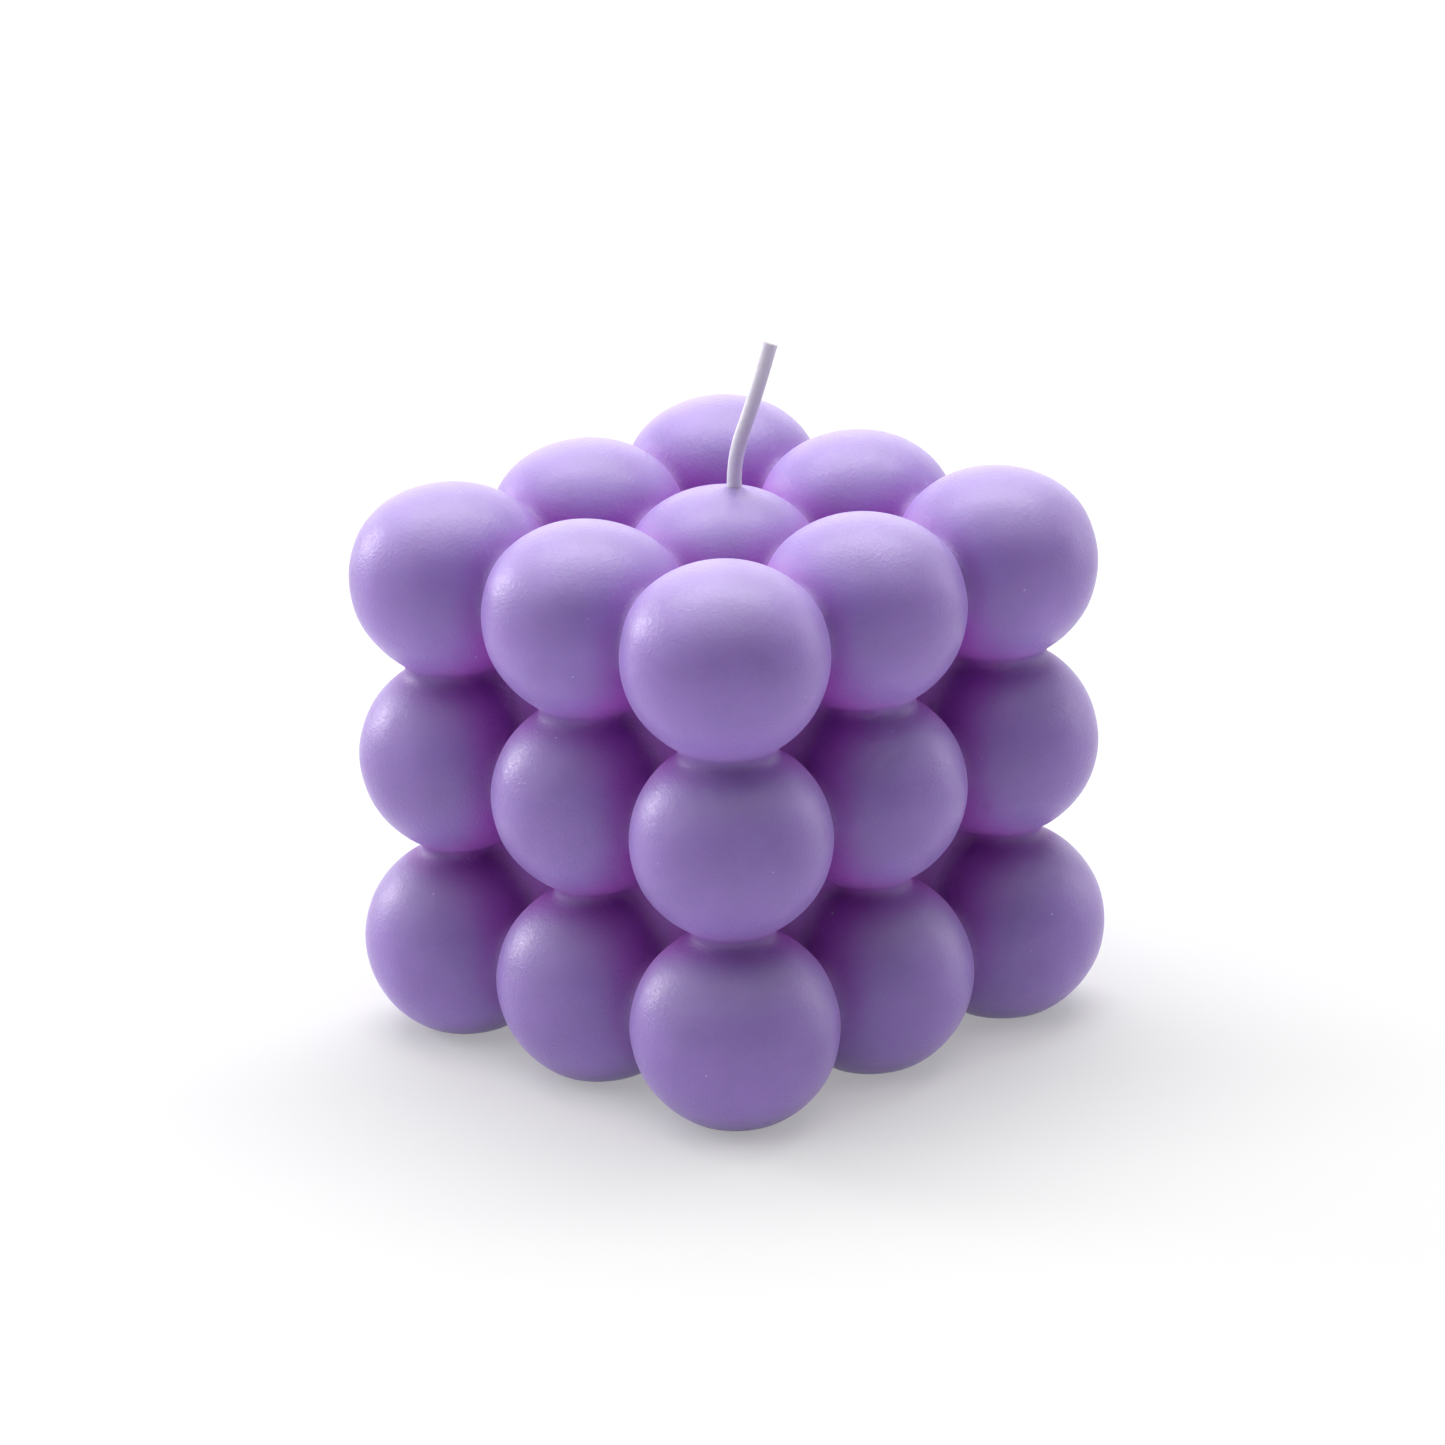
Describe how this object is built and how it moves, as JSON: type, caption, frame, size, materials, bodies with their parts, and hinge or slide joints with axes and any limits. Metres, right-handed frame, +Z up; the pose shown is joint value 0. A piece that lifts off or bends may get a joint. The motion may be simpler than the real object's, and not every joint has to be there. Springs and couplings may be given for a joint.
{
  "type": "bubble cube candle",
  "caption": "Free-standing moulded wax candle: a cube of round bubbles fused at short necks, with a bent waxed cotton wick standing from the middle of its top.",
  "frame": {"origin": "middle of the candle's footprint, on the surface that its flat feet stand on", "axes": "+Z up from the feet to the wick, X and Y along the rows of bubbles"},
  "size_m": [0.0598, 0.0598, 0.0727],
  "materials": {
    "candle_wax": "satin lilac candle wax, slightly translucent, with a fine cast ripple",
    "waxed_cotton": "braided cotton wick stiffened with pale wax"
  },
  "bodies": {
    "root": {"wax_body": "candle_wax", "wick": "waxed_cotton"}
  },
  "joints": []
}
